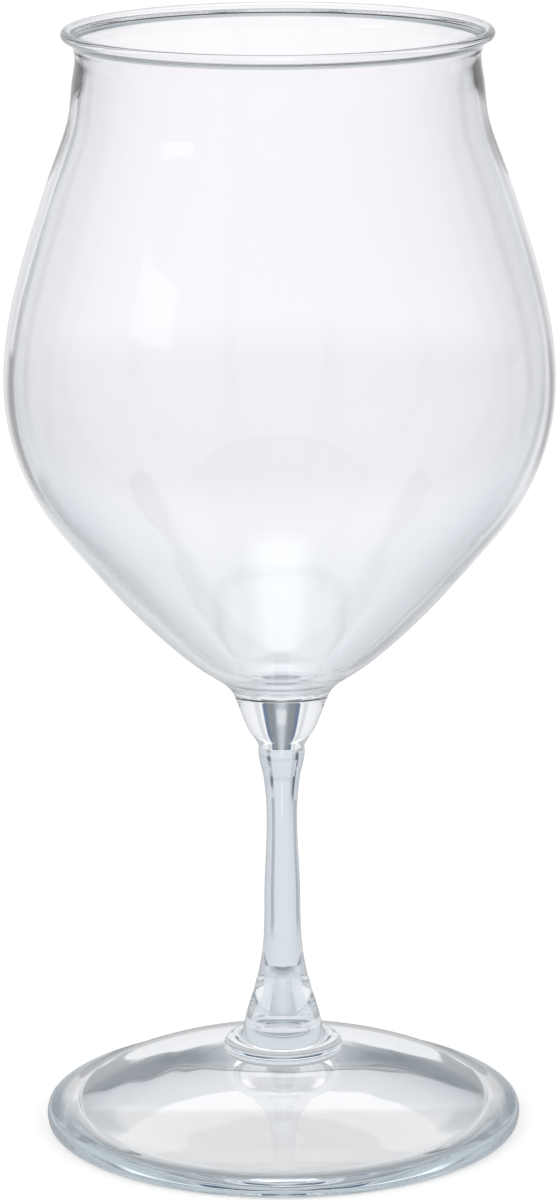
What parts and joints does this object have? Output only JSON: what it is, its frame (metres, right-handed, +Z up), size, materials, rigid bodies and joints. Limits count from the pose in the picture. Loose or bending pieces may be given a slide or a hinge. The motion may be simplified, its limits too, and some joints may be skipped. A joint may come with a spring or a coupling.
{
  "type": "tulip glass",
  "caption": "Clear stemmed tulip drinking glass: beaded lip, pinched neck, wide belly and cone-shaped base on a slim stem, let into the bowl and welded to a thick round foot that is hollowed underneath.",
  "frame": {"origin": "centre of the plane that the foot rests on", "axes": "+Z up along the axis of the glass; it is a turned shape, so +X and +Y are any two directions across it"},
  "size_m": [0.0896, 0.0896, 0.1837],
  "materials": {
    "bowl_glass": "clear, fire-polished, thin-walled",
    "stem_glass": "clear, drawn rod with a faint cool tint",
    "foot_glass": "clear, pressed, with faint waves"
  },
  "bodies": {
    "root": {"bowl": "bowl_glass", "stem": "stem_glass", "foot": "foot_glass"}
  },
  "joints": []
}
